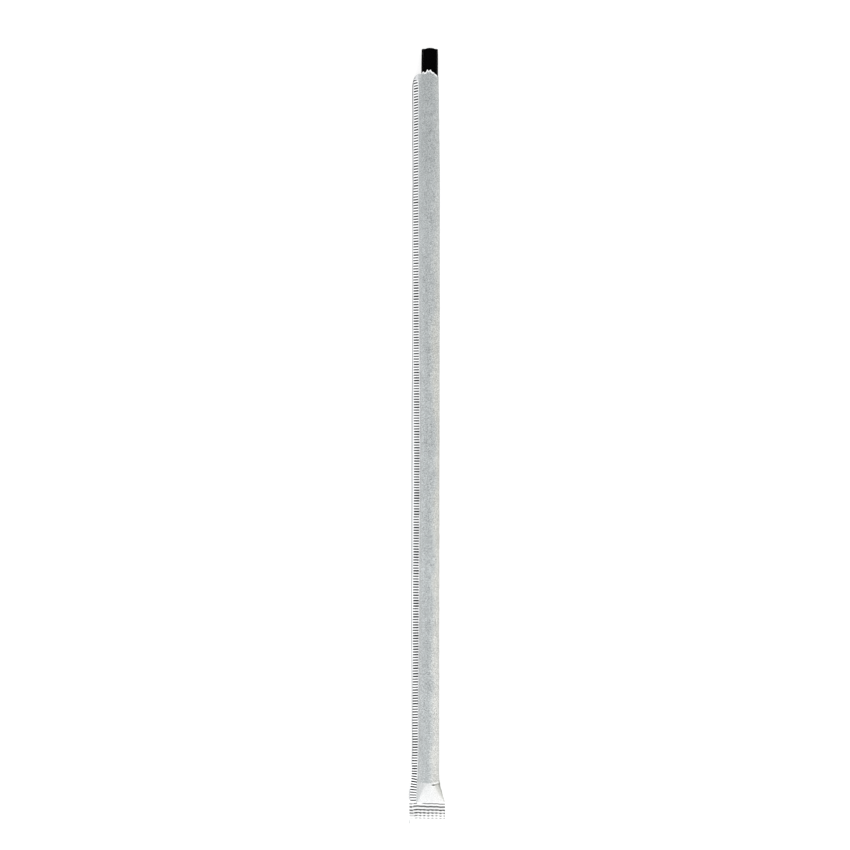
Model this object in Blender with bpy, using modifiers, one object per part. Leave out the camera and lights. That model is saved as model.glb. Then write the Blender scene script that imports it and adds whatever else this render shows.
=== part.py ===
"""Wrapped drinking straw: a long plastic straw in a torn-open paper sleeve.

The straw lies along Y with its drinking end at +Y. The sleeve is one paper
strip wrapped round it: the strip's long edges are crimped together as a flat
fin along the -X side, the far end (-Y) is pressed flat and sealed, and the
near end is torn off, so that a little of the straw shows. Everything lies on
the plane z = 0, as it comes to rest on a table. Units are metres.
"""

import math

import bmesh
import bpy
import numpy as np

# ---- straw -----------------------------------------------------------------
STRAW_LENGTH = 0.26035  # 10 1/4 in
STRAW_OD = 0.00592
STRAW_WALL = 0.000115
STRAW_SIDES = 48
STRAW_TIP_Y = 0.1374  # drinking end
STRAW_X = 0.000965  # the straw's axis, from the middle of the whole
STRAW_Z = 0.00315

# ---- paper sleeve ----------------------------------------------------------
PAPER = 0.00006  # one thickness of paper
SLEEVE_IN_R = 0.00314  # inside of the sleeve round the straw
FUNNEL_Y0 = -0.1240  # the sleeve closes in past the straw's end here ...
FUNNEL_Y1 = -0.1298  # ... and is flat from here on
SEAL_END_Y = -0.1374
SEAL_Z = (0.0029, 0.0027)  # height of the end seal, at its start and its end
SEAL_LEFT = -0.00731  # from the straw's axis
SEAL_INNER = -0.00491  # where the fin's root crosses the end seal
SEAL_RIGHT = 0.00538
SLIT = 0.00001  # half the height of the hollow where it closes
MOUTH_Y = 0.1180  # above this the sleeve follows the tear

# The funnel has a flat upper facet that widens from the straw's end to the
# seal: x on the round sleeve, x on the seal
FACETS = ((-0.0046, -0.00491), (-0.0019, -0.0043), (0.0015, 0.00395), (0.00336, 0.00538))

# Shape of the sleeve along its length, from the straw's axis: y, fin's root
# x z, fin's outer edge x z, sleeve's right-hand side x. The fin lies on the
# table from the torn end to the middle, and turns up level with the end seal.
STATIONS = (
    (-0.1240, -0.00460, 0.00292, -0.00706, 0.00288, 0.00336),
    (-0.1202, -0.00442, 0.00290, -0.00690, 0.00286, 0.00328),
    (-0.1134, -0.00421, 0.00275, -0.00644, 0.00270, 0.00328),
    (-0.1014, -0.00410, 0.00240, -0.00643, 0.00235, 0.00328),
    (-0.0893, -0.00401, 0.00200, -0.00646, 0.00192, 0.00329),
    (-0.0772, -0.00389, 0.00162, -0.00655, 0.00140, 0.00330),
    (-0.0652, -0.00380, 0.00140, -0.00663, 0.00082, 0.00331),
    (-0.0531, -0.00375, 0.00132, -0.00665, 0.00048, 0.00333),
    (-0.0411, -0.00374, 0.00128, -0.00665, 0.00026, 0.00334),
    (-0.0290, -0.00362, 0.00114, -0.00663, 0.00012, 0.00336),
    (-0.0169, -0.00351, 0.00102, -0.00657, 0.00007, 0.00337),
    (-0.0049, -0.00347, 0.00097, -0.00656, 0.00006, 0.00340),
    (0.0072, -0.00354, 0.00105, -0.00652, 0.00006, 0.00343),
    (0.0193, -0.00360, 0.00115, -0.00641, 0.00006, 0.00345),
    (0.0313, -0.00371, 0.00130, -0.00625, 0.00010, 0.00347),
    (0.0434, -0.00380, 0.00145, -0.00620, 0.00018, 0.00350),
    (0.0554, -0.00384, 0.00156, -0.00619, 0.00026, 0.00352),
    (0.0675, -0.00387, 0.00166, -0.00619, 0.00030, 0.00353),
    (0.0796, -0.00394, 0.00178, -0.00619, 0.00025, 0.00354),
    (0.0916, -0.00399, 0.00192, -0.00619, 0.00015, 0.00356),
    (0.1037, -0.00398, 0.00205, -0.00619, 0.00008, 0.00342),
    (0.1158, -0.00401, 0.00211, -0.00619, 0.00006, 0.00326),
    (0.1310, -0.00401, 0.00213, -0.00620, 0.00006, 0.00320),
)

# The tear across the upper side, then across the lower side: x, y
TEAR_TOP = (
    (-0.00623, 0.1254),
    (-0.00598, 0.1270),
    (-0.00550, 0.1277),
    (-0.00456, 0.1288),
    (-0.00296, 0.1291),
    (-0.00200, 0.1290),
    (-0.00090, 0.1301),
    (-0.00040, 0.1295),
    (0.00020, 0.1298),
    (0.00147, 0.1286),
    (0.00330, 0.1275),
)
TEAR_BOTTOM = (
    (-0.00623, 0.1254),
    (-0.00400, 0.1260),
    (-0.00150, 0.1258),
    (0.00100, 0.1265),
    (0.00330, 0.1275),
)

# edges round the hollow: over the top, down the right-hand side, across the
# flat underside, and back up to the fin
OVER, DOWN, UNDER, BACK = 20, 9, 2, 9
ROUND = OVER + DOWN + UNDER + BACK
FIN = 3  # edges across the fin
TUBE_STEP = 0.0125


def smooth(keys, y):
    """Values of the rows of keys at y, by a cubic with the rows' own slopes."""
    rows = np.array(keys)
    ys, vals = rows[:, 0], rows[:, 1:]
    y = min(max(y, ys[0]), ys[-1])
    k = min(int(np.searchsorted(ys, y, side="right")) - 1, len(ys) - 2)
    slope = np.gradient(vals, ys, axis=0)
    h = ys[k + 1] - ys[k]
    t = (y - ys[k]) / h
    return (
        (2 * t**3 - 3 * t**2 + 1) * vals[k]
        + (t**3 - 2 * t**2 + t) * h * slope[k]
        + (3 * t**2 - 2 * t**3) * vals[k + 1]
        + (t**3 - t**2) * h * slope[k + 1]
    )


def divide(points, edges):
    """The line through points, divided evenly into that many edges."""
    run = np.concatenate([[0], np.cumsum(np.linalg.norm(np.diff(points, axis=0), axis=1))])
    at = np.linspace(0, run[-1], edges + 1)
    return np.stack([np.interp(at, run, points[:, c]) for c in (0, 1)], axis=1)


def hull_round(apex, right):
    """The hollow of the sleeve at one place, as x, z points from the straw's
    axis: the tight line round a circle on the axis, a circle moved to the
    right-hand side and the fin's root, with a flat where the sleeve lies on
    the table. It starts and ends at the fin's root, and goes over the top."""
    start = math.atan2(apex[1], apex[0])
    shift = right - PAPER - SLEEVE_IN_R
    points = []
    for a in np.linspace(0.0, 2 * math.pi, 721):
        n = np.array([math.cos(start - a), math.sin(start - a)])
        reach = (SLEEVE_IN_R, shift * n[0] + SLEEVE_IN_R, float(apex @ n))
        if reach[2] >= max(reach[0], reach[1]):
            p = apex
        elif reach[1] > reach[0]:
            p = np.array([shift, 0.0]) + SLEEVE_IN_R * n
        else:
            p = SLEEVE_IN_R * n
        if not points or np.linalg.norm(p - points[-1]) > 1e-9:
            points.append(p)
    points = np.array(points)
    table = PAPER - STRAW_Z
    half = math.sqrt(SLEEVE_IN_R**2 - table**2)
    fold = int(np.argmax(points[:, 0]))
    low = int(np.argmin(points[:, 1]))
    above = points[:, 1] > table
    index = np.arange(len(points))
    corner = np.array([[shift + half, table]]), np.array([[-half, table]])
    arcs = (
        divide(points[: fold + 1], OVER),
        divide(np.concatenate([points[fold:][(above & (index < low))[fold:]], corner[0]]), DOWN),
        divide(np.concatenate(corner), UNDER),
        divide(np.concatenate([corner[1], points[above & (index > low)]]), BACK),
    )
    return np.concatenate([arcs[0]] + [arc[1:] for arc in arcs[1:]])


def section(y):
    """Outer and inner loop of the sleeve at y, as x, z points in the frame of
    the whole. The outer loop starts at the fin's outer edge, on its upper
    face, and ends there on its lower face."""
    xa, za, xo, zo, right = smooth(STATIONS, y)
    apex = np.array([xa, za - STRAW_Z])
    edge = np.array([xo, zo - STRAW_Z])
    inner = hull_round(apex, right)
    # normals, out of the hollow
    step = np.gradient(inner, axis=0)
    step /= np.linalg.norm(step, axis=1)[:, None]
    normal = np.stack([-step[:, 1], step[:, 0]], axis=1)
    outer = inner + PAPER * normal
    outer[OVER + DOWN : ROUND - BACK + 1, 1] = -STRAW_Z
    along = (apex - edge) / np.linalg.norm(apex - edge)
    up = np.array([-along[1], along[0]])
    for k, n2 in ((0, up), (-1, -up)):
        first = inner[1] - inner[0] if k == 0 else inner[-1] - inner[-2]
        first /= np.linalg.norm(first)
        n1 = np.array([-first[1], first[0]])
        outer[k] = apex + PAPER * (n1 + n2) / (1 + n1 @ n2)
    upper = [edge + PAPER * up + (outer[0] - edge - PAPER * up) * k / FIN for k in range(FIN)]
    lower = [edge - PAPER * up + (outer[-1] - edge + PAPER * up) * k / FIN for k in range(FIN)]
    loop = np.array(upper + list(outer) + lower[::-1])
    for points in (loop, inner):
        points += np.array([STRAW_X, STRAW_Z])
        points[:, 1] = np.maximum(points[:, 1], 0.0)
    return loop, inner


def flat_section(round_inner, z):
    """The two loops where the sleeve is pressed flat at height z, from the
    round hollow that they continue."""
    x = np.interp(round_inner[:, 0] - STRAW_X, *np.array(FACETS).T)
    x[0] = x[-1] = SEAL_INNER
    count = np.arange(ROUND + 1)
    side = np.sign(OVER - count)  # 1 on the upper layer, -1 on the lower one
    inner = np.stack([x, z + SLIT * side], axis=1)
    inner[OVER, 0] -= PAPER
    inner[0, 1] = inner[-1, 1] = z
    outer = np.stack([x, z + PAPER * side], axis=1)
    outer[OVER, 0] = SEAL_RIGHT
    fin = SEAL_LEFT + (SEAL_INNER - SEAL_LEFT) * np.arange(FIN) / FIN
    upper = np.stack([fin, np.full(FIN, z + PAPER)], axis=1)
    lower = np.stack([fin[::-1], np.full(FIN, z - PAPER)], axis=1)
    loop = np.concatenate([upper, outer, lower])
    for points in (loop, inner):
        points[:, 0] += STRAW_X
    return loop, inner


def tear_y(points):
    """Where the tear runs, for each x, z point of a loop."""
    x = points[:, 0] - STRAW_X
    top = np.interp(x, *np.array(TEAR_TOP).T)
    bottom = np.interp(x, *np.array(TEAR_BOTTOM).T)
    return top, bottom


def make_sleeve():
    """The paper: a loft through the sections, closed at the end seal and open
    at the tear."""
    full_loop, full_inner = section(FUNNEL_Y0)
    flat_loop, flat_inner = flat_section(full_inner, SEAL_Z[0])
    end_loop, _ = flat_section(full_inner, SEAL_Z[1])
    # rings of x, y, z points from the end seal to the tear
    outer, inner = [(end_loop, SEAL_END_Y), (flat_loop, FUNNEL_Y1)], []
    for u in (1.0, 0.75, 0.5, 0.25, 0.08, 0.0):
        y = FUNNEL_Y0 + (FUNNEL_Y1 - FUNNEL_Y0) * u
        if u < 1.0:
            outer.append((full_loop + (flat_loop - full_loop) * u, y))
        inner.append((full_inner + (flat_inner - full_inner) * u, y))
    for y in np.linspace(FUNNEL_Y0, MOUTH_Y, 1 + round((MOUTH_Y - FUNNEL_Y0) / TUBE_STEP))[1:]:
        loop, hollow = section(y)
        outer.append((loop, y))
        inner.append((hollow, y))
    rings = [[np.insert(p, 1, y, axis=1) for p, y in side] for side in (outer, inner)]
    for v in (0.5, 1.0):
        loop, hollow = section(MOUTH_Y + 0.009 * v)
        for side, points in zip(rings, (loop, hollow)):
            count = len(points)
            top, bottom = tear_y(points)
            y = np.where(np.arange(count) <= count // 2, top, bottom)
            side.append(np.insert(points, 1, MOUTH_Y + (y - MOUTH_Y) * v, axis=1))

    bm = bmesh.new()
    out = [[bm.verts.new(p) for p in ring] for ring in rings[0]]
    hollow = []
    for ring in rings[1]:
        verts = [bm.verts.new(p) for p in ring[:-1]]
        hollow.append(verts + verts[:1])
    count = len(out[0])
    for a, b in zip(out, out[1:]):
        for i in range(count):
            j = (i + 1) % count
            bm.faces.new((a[i], a[j], b[j], b[i]))
    for a, b in zip(hollow, hollow[1:]):
        for i in range(ROUND):
            bm.faces.new((a[i + 1], a[i], b[i], b[i + 1]))
    # the end of the seal
    end, last = out[0], count - 1
    for i in range(count // 2 - 1):
        bm.faces.new((end[i + 1], end[i], end[last - i], end[last - i - 1]))
    bm.faces.new((end[count // 2], end[count // 2 - 1], end[last - count // 2 + 1]))
    # the closed end of the hollow
    slit = hollow[0]
    bm.faces.new((slit[0], slit[1], slit[ROUND - 1]))
    for i in range(1, ROUND // 2 - 1):
        bm.faces.new((slit[i], slit[i + 1], slit[ROUND - i - 1], slit[ROUND - i]))
    bm.faces.new((slit[ROUND // 2 - 1], slit[ROUND // 2], slit[ROUND // 2 + 1]))
    # the torn edge: across the fin, at its root, and round the hollow
    rim, lip = out[-1], hollow[-1]
    for i in range(FIN):
        bm.faces.new((rim[i], rim[i + 1], rim[last - i - 1], rim[last - i]))
    bm.faces.new((rim[FIN], lip[0], rim[last - FIN]))
    for i in range(ROUND):
        bm.faces.new((rim[FIN + i], rim[FIN + i + 1], lip[i + 1], lip[i]))
    bmesh.ops.recalc_face_normals(bm, faces=bm.faces)
    mesh = bpy.data.meshes.new("paper_sleeve")
    bm.to_mesh(mesh)
    bm.free()
    mesh.shade_smooth()
    mesh.set_sharp_from_angle(angle=math.radians(40))
    return bpy.data.objects.new("paper_sleeve", mesh)


def make_straw():
    """The straw: the wall's cut section, turned round the straw's own axis. Its
    origin is on the axis, at the end inside the sleeve."""
    r, wall = STRAW_OD / 2, STRAW_WALL
    section_points = ((r, STRAW_LENGTH), (r, 0), (r - wall, 0), (r - wall, STRAW_LENGTH))
    mesh = bpy.data.meshes.new("straw")
    mesh.from_pydata([(x, y, 0) for x, y in section_points], [(0, 1), (1, 2), (2, 3), (3, 0)], [])
    straw = bpy.data.objects.new("straw", mesh)
    straw.location = (STRAW_X, STRAW_TIP_Y - STRAW_LENGTH, STRAW_Z)
    turn = straw.modifiers.new("turn", "SCREW")
    turn.axis = "Y"
    turn.angle = 2 * math.pi
    turn.steps = turn.render_steps = STRAW_SIDES
    turn.use_merge_vertices = True
    turn.merge_threshold = 0.000001
    turn.use_smooth_shade = True
    return straw


def material(name, colour, roughness, coat=0.0):
    """A Principled material of one colour."""
    made = bpy.data.materials.new(name)
    made.use_nodes = True
    shader = made.node_tree.nodes["Principled BSDF"]
    shader.inputs["Base Color"].default_value = (*colour, 1.0)
    shader.inputs["Roughness"].default_value = roughness
    shader.inputs["Metallic"].default_value = 0.0
    shader.inputs["Coat Weight"].default_value = coat
    made.diffuse_color = (*colour, 1.0)
    return made


def main():
    for old in list(bpy.data.objects):
        bpy.data.objects.remove(old, do_unlink=True)
    whole = bpy.data.collections.new("wrapped_drinking_straw")
    bpy.context.scene.collection.children.link(whole)
    sleeve, straw = make_sleeve(), make_straw()
    sleeve.data.materials.append(material("white_paper", (0.80, 0.81, 0.80), 0.85))
    straw.data.materials.append(material("black_plastic", (0.012, 0.012, 0.013), 0.22))
    for piece in (sleeve, straw):
        whole.objects.link(piece)


main()
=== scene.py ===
import math

import bmesh
import bpy
import numpy as np
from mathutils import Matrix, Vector


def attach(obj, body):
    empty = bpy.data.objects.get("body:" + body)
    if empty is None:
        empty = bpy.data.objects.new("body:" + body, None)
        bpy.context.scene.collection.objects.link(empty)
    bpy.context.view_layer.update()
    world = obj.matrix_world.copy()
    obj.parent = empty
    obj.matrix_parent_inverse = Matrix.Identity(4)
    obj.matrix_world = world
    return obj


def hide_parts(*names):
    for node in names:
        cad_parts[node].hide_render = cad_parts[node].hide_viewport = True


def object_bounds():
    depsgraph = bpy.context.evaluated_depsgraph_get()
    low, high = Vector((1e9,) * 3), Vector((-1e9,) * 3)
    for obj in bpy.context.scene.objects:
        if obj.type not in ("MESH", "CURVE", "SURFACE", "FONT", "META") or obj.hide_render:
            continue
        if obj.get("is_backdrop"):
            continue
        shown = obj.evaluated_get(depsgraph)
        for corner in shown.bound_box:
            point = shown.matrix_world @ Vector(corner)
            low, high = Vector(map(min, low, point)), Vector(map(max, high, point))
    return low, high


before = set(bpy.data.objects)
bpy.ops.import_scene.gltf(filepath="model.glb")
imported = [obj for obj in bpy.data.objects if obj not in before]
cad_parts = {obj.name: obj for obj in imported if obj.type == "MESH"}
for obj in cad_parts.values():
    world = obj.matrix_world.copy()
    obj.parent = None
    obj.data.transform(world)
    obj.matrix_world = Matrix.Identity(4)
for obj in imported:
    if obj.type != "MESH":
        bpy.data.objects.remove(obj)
cad_box = [list(corner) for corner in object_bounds()]

# ---------------------------------------------------------------------------
# Sizes, the same as in the part's source. Metres.
# ---------------------------------------------------------------------------
STRAW_X, STRAW_Z = 0.000965, 0.00315
PAPER = 0.00006
SLEEVE_IN_R = 0.00314
FUNNEL_Y0, FUNNEL_Y1 = -0.1240, -0.1298
SEAL_END_Y = -0.1374
SEAL_Z = (0.0029, 0.0027)
SEAL_LEFT, SEAL_INNER, SEAL_RIGHT = -0.00731, -0.00491, 0.00538
SLIT = 0.00001
STRAW_END_Y = -0.12295
FACETS = ((-0.0046, -0.00491), (-0.0019, -0.0043), (0.0015, 0.00395), (0.00336, 0.00538))
STATIONS = np.array((
    (-0.1240, -0.00460, 0.00292, -0.00706, 0.00288, 0.00336),
    (-0.1202, -0.00442, 0.00290, -0.00690, 0.00286, 0.00328),
    (-0.1134, -0.00421, 0.00275, -0.00644, 0.00270, 0.00328),
    (-0.1014, -0.00410, 0.00240, -0.00643, 0.00235, 0.00328),
    (-0.0893, -0.00401, 0.00200, -0.00646, 0.00192, 0.00329),
    (-0.0772, -0.00389, 0.00162, -0.00655, 0.00140, 0.00330),
    (-0.0652, -0.00380, 0.00140, -0.00663, 0.00082, 0.00331),
    (-0.0531, -0.00375, 0.00132, -0.00665, 0.00048, 0.00333),
    (-0.0411, -0.00374, 0.00128, -0.00665, 0.00026, 0.00334),
    (-0.0290, -0.00362, 0.00114, -0.00663, 0.00012, 0.00336),
    (-0.0169, -0.00351, 0.00102, -0.00657, 0.00007, 0.00337),
    (-0.0049, -0.00347, 0.00097, -0.00656, 0.00006, 0.00340),
    (0.0072, -0.00354, 0.00105, -0.00652, 0.00006, 0.00343),
    (0.0193, -0.00360, 0.00115, -0.00641, 0.00006, 0.00345),
    (0.0313, -0.00371, 0.00130, -0.00625, 0.00010, 0.00347),
    (0.0434, -0.00380, 0.00145, -0.00620, 0.00018, 0.00350),
    (0.0554, -0.00384, 0.00156, -0.00619, 0.00026, 0.00352),
    (0.0675, -0.00387, 0.00166, -0.00619, 0.00030, 0.00353),
    (0.0796, -0.00394, 0.00178, -0.00619, 0.00025, 0.00354),
    (0.0916, -0.00399, 0.00192, -0.00619, 0.00015, 0.00356),
    (0.1037, -0.00398, 0.00205, -0.00619, 0.00008, 0.00342),
    (0.1158, -0.00401, 0.00211, -0.00619, 0.00006, 0.00326),
    (0.1310, -0.00401, 0.00213, -0.00620, 0.00006, 0.00320),
))

# The tear, in millimetres from the straw's axis: across the fin and the upper
# side, then across the lower side.
TEAR_TOP = np.array((
    (-6.23, 124.85), (-6.05, 125.95), (-5.81, 126.80), (-5.62, 127.20), (-5.27, 127.97), (-4.91, 128.19),
    (-4.56, 128.62), (-3.85, 128.70), (-3.40, 128.48), (-2.96, 128.58), (-2.60, 128.82), (-2.25, 129.17), (-1.89, 128.68),
    (-1.54, 128.72), (-1.19, 129.19), (-0.83, 129.91), (-0.50, 129.22), (-0.12, 129.44), (0.23, 129.65), (0.58, 129.13),
    (0.94, 128.76), (1.29, 128.90), (1.65, 128.37), (2.00, 128.19), (2.35, 127.96), (2.70, 127.74), (3.30, 127.45),
))
TEAR_BOTTOM = np.array((
    (-4.05, 128.60), (-3.40, 126.90), (-2.60, 126.00), (-1.50, 125.80), (-0.40, 126.35),
    (1.00, 126.50), (2.20, 127.20), (3.30, 127.45),
))

# ---------------------------------------------------------------------------
# Knurling of the fin
# ---------------------------------------------------------------------------
# y in mm, pitch in mm: the knurling wheel slips a little along the strip
PITCH = np.array(((-137.0, 0.943), (-112.0, 0.950), (-95.0, 0.965), (-45.0, 0.965), (-30.0, 0.950), (18.0, 0.949), (50.0, 0.980), (130.0, 0.984)))
# y in mm, how far a rib climbs for each mm to the right
LEAN = np.array(((-129.0, 0.0), (-128.0, -0.02), (-127.3, -0.05), (-125.0, -0.12), (-123.5, -0.15), (-121.6, -0.18), (-120.0, -0.06), (-118.0, 0.0), (-101.4, 0.02), (-77.0, 0.035), (-54.0, 0.0), (7.0, 0.0), (55.0, 0.02), (67.5, 0.03), (79.6, 0.06), (91.6, 0.09), (103.7, 0.13), (115.8, 0.15), (131.0, 0.15)))
# y in mm, how far the grooves there lie above the evenly spaced ones, in mm
SLIP = np.array(((-130.0, 0.26), (-125.2, 0.245), (-124.25, 0.294), (-123.3, 0.252), (-122.3, 0.274), (-121.4, 0.267), (-120.5, 0.25), (-119.5, 0.21), (-118.65, 0.125), (-116.3, 0.08), (-107.8, 0.085), (-99.2, 0.145), (-90.7, 0.174), (-73.7, 0.138), (-65.2, 0.067), (-56.7, 0.0), (-22.6, 0.0), (-14.1, -0.05), (-5.6, -0.117), (2.9, -0.057), (11.4, 0.03), (28.5, 0.064), (45.5, 0.067), (71.0, 0.025), (79.6, 0.012), (88.1, 0.075), (96.6, 0.177), (105.1, 0.294), (113.6, 0.255), (122.1, 0.227), (131.0, 0.2)))
FIRST_RIB = 125.27  # y of one groove, in mm
RIB_DEPTH = 0.00011
BAND = 0.0022  # width of the knurled band


def rib_count(y):
    """Number of grooves from FIRST_RIB down to y (mm)."""
    grid = np.linspace(-138.0, 132.0, 2701)
    per = 1.0 / np.interp(grid, *PITCH.T)
    run = np.concatenate([[0], np.cumsum((per[1:] + per[:-1]) / 2 * np.diff(grid))])
    return np.interp(FIRST_RIB, grid, run) - np.interp(y, grid, run)


def bumps(seed, count, longest, shortest):
    """Waves for ripple(): random directions and lengths, always the same."""
    rng = np.random.default_rng(seed)
    length = np.exp(rng.uniform(math.log(shortest), math.log(longest), count))
    turn = rng.uniform(0, 2 * math.pi, count)
    return np.cos(turn) / length, np.sin(turn) / length, rng.uniform(0, 2 * math.pi, count), length


def ripple(a, b, waves):
    """Smooth noise of about -1 to 1 at a, b (mm)."""
    out = np.zeros(np.broadcast(a, b).shape)
    for ka, kb, phase, length in zip(*waves):
        out += np.sin(2 * math.pi * (ka * a + kb * b) + phase) * length**0.5
    return out / (math.sqrt(0.5 * np.sum(waves[3])) * 1.6)


def jag(seed, step, at):
    """Ragged noise of -1 to 1 at places at (mm), straight between random
    values a step apart."""
    rng = np.random.default_rng(seed)
    keys = np.arange(-12.0, 40.0, step)
    keys = keys + rng.uniform(-0.3, 0.3, len(keys)) * step
    return np.interp(at, keys, rng.uniform(-1, 1, len(keys)))


def soft(low, high, value):
    t = np.clip((value - low) / (high - low), 0, 1)
    return t * t * (3 - 2 * t)


def smooth(y):
    """Values of STATIONS at the places y, by the cubic of the part's source."""
    y = np.clip(np.asarray(y, float), STATIONS[0, 0], STATIONS[-1, 0])
    ys, vals = STATIONS[:, 0], STATIONS[:, 1:]
    k = np.clip(np.searchsorted(ys, y, side="right") - 1, 0, len(ys) - 2)
    slope = np.gradient(vals, ys, axis=0)
    h = (ys[k + 1] - ys[k])[..., None]
    t = (y - ys[k])[..., None] / h
    return (
        (2 * t**3 - 3 * t**2 + 1) * vals[k]
        + (t**3 - 2 * t**2 + t) * h * slope[k]
        + (3 * t**2 - 2 * t**3) * vals[k + 1]
        + (t**3 - t**2) * h * slope[k + 1]
    )


def divide(points, edges):
    run = np.concatenate([[0], np.cumsum(np.linalg.norm(np.diff(points, axis=0), axis=1))])
    at = np.linspace(0, run[-1], edges + 1)
    return np.stack([np.interp(at, run, points[:, c]) for c in (0, 1)], axis=1)


def hull_round(apex, right, counts):
    """Hollow of the sleeve, from the fin's root over the top and back."""
    shift = right - PAPER - SLEEVE_IN_R
    start = math.atan2(apex[1], apex[0])
    angle = start - np.linspace(0.0, 2 * math.pi, 1441)
    n = np.stack([np.cos(angle), np.sin(angle)], axis=1)
    reach = np.stack([np.full(len(n), SLEEVE_IN_R), shift * n[:, 0] + SLEEVE_IN_R, n @ apex])
    which = np.where(reach[2] >= np.maximum(reach[0], reach[1]), 2, np.where(reach[1] > reach[0], 1, 0))
    points = SLEEVE_IN_R * n
    points[which == 1] += (shift, 0.0)
    points[which == 2] = apex
    keep = np.concatenate([[True], np.linalg.norm(np.diff(points, axis=0), axis=1) > 1e-9])
    points = points[keep]
    table = PAPER - STRAW_Z
    half = math.sqrt(SLEEVE_IN_R**2 - table**2)
    fold, low = int(np.argmax(points[:, 0])), int(np.argmin(points[:, 1]))
    above, index = points[:, 1] > table, np.arange(len(points))
    corner = np.array([[shift + half, table]]), np.array([[-half, table]])
    over, down, under, back = counts
    arcs = (
        divide(points[: fold + 1], over),
        divide(np.concatenate([points[fold:][(above & (index < low))[fold:]], corner[0]]), down),
        divide(np.concatenate(corner), under),
        divide(np.concatenate([corner[1], points[above & (index > low)]]), back),
    )
    return np.concatenate([arcs[0]] + [arc[1:] for arc in arcs[1:]])


def section(y, counts):
    """Outer line, from the fin's root over the top and round to the root's
    lower face, and inner line, as x, z from the straw's axis."""
    xa, za, xo, zo, right = smooth(y)
    apex, edge = np.array([xa, za - STRAW_Z]), np.array([xo, zo - STRAW_Z])
    inner = hull_round(apex, right, counts)
    step = np.gradient(inner, axis=0)
    step /= np.linalg.norm(step, axis=1)[:, None]
    outer = inner + PAPER * np.stack([-step[:, 1], step[:, 0]], axis=1)
    over, down, under, back = counts
    outer[over + down : sum(counts) - back + 1, 1] = -STRAW_Z
    along = (apex - edge) / np.linalg.norm(apex - edge)
    up = np.array([-along[1], along[0]])
    for k, n2 in ((0, up), (-1, -up)):
        first = inner[1] - inner[0] if k == 0 else inner[-1] - inner[-2]
        first /= np.linalg.norm(first)
        n1 = np.array([-first[1], first[0]])
        outer[k] = apex + PAPER * (n1 + n2) / (1 + n1 @ n2)
    return outer, inner


def flat_section(inner, z, counts):
    """The same two lines where the sleeve is pressed flat at height z."""
    x = np.interp(inner[:, 0], *np.array(FACETS).T)
    x[0] = x[-1] = SEAL_INNER
    over = counts[0]
    side = np.sign(over - np.arange(sum(counts) + 1))
    flat = np.stack([x, z - STRAW_Z + SLIT * side], axis=1)
    flat[over, 0] -= PAPER
    flat[0, 1] = flat[-1, 1] = z - STRAW_Z
    outer = np.stack([x, z - STRAW_Z + PAPER * side], axis=1)
    outer[over, 0] = SEAL_RIGHT
    outer[0, 1], outer[-1, 1] = z - STRAW_Z + PAPER, z - STRAW_Z - PAPER
    return outer, flat


# ---------------------------------------------------------------------------
# The paper sleeve: one closed mesh of thin paper, in patches that share their
# border points
# ---------------------------------------------------------------------------
OUTER, FIN, SEAL, INNER = range(4)


class Sheet:
    """Points with what is known of each, and faces with their place on the
    unwrapped map."""

    def __init__(self):
        self.rows, self.total = [], 0
        self.tris, self.quads = [], []
        self.tri_map, self.quad_map = [], []

    def add(self, place, kind, root=0.0, tear=99.0, normal=(0, 0, 1)):
        """place (n, 3) in m from the straw's axis in x and z; root is how far
        from the fin's root in mm across the fin; tear how far below the torn
        edge in mm. Returns the points' numbers."""
        place = np.asarray(place, float)
        n = place.reshape(-1, 3).shape[0]
        cast = lambda v, w=None: np.broadcast_to(np.asarray(v, float), place.shape[:-1] if w is None else place.shape).reshape((n,) if w is None else (n, 3))
        self.rows.append(np.concatenate([
            place.reshape(n, 3), np.full((n, 1), float(kind)), cast(root)[:, None], cast(tear)[:, None], cast(normal, 3)
        ], axis=1))
        first = self.total
        self.total += n
        return np.arange(first, first + n).reshape(place.shape[:-1])

    def grid(self, ids, p, q, chart):
        """Quads between the rows and columns of ids; p, q the map's places."""
        p, q = np.broadcast_arrays(p, q)
        corner = lambda a: (a[:-1, :-1], a[:-1, 1:], a[1:, 1:], a[1:, :-1])
        self.quads.append(np.stack(corner(ids), axis=-1).reshape(-1, 4))
        at = np.stack([np.stack(corner(p), -1), np.stack(corner(q), -1)], -1).reshape(-1, 4, 2)
        self.quad_map.append(np.concatenate([np.full((len(at), 4, 1), float(chart)), at], axis=2))

    def zipper(self, a, b, at_a, at_b, map_a, map_b, chart):
        """Triangles between two lines of points with different spacing."""
        tris, at = [], []
        i = j = 0
        while i < len(a) - 1 or j < len(b) - 1:
            if j == len(b) - 1 or (i < len(a) - 1 and at_a[i + 1] <= at_b[j + 1]):
                tris.append((a[i], a[i + 1], b[j]))
                at.append((map_a[i], map_a[i + 1], map_b[j]))
                i += 1
            else:
                tris.append((a[i], b[j + 1], b[j]))
                at.append((map_a[i], map_b[j + 1], map_b[j]))
                j += 1
        self.tris.append(np.array(tris))
        at = np.array(at, float)
        self.tri_map.append(np.concatenate([np.full((len(at), 3, 1), float(chart)), at], axis=2))


def lines(y, outer_like):
    return np.insert(outer_like, 1, y, axis=-1)


def arc(line):
    """Length along a line, in mm."""
    return 1000 * np.concatenate([[0], np.cumsum(np.linalg.norm(np.diff(line, axis=0), axis=1))])


COARSE = (24, 11, 2, 11)
FINE = (84, 36, 8, 36)
IN_COARSE = (16, 7, 2, 7)
MOUTH = 0.1235
FINE_TOP = -0.1213  # above this the tube has the coarse columns
DENSE = 0.000124
RIM_ROWS = np.array([0, 0.12, 0.26, 0.4, 0.54, 0.67, 0.78, 0.87, 0.94, 1.0])


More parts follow.
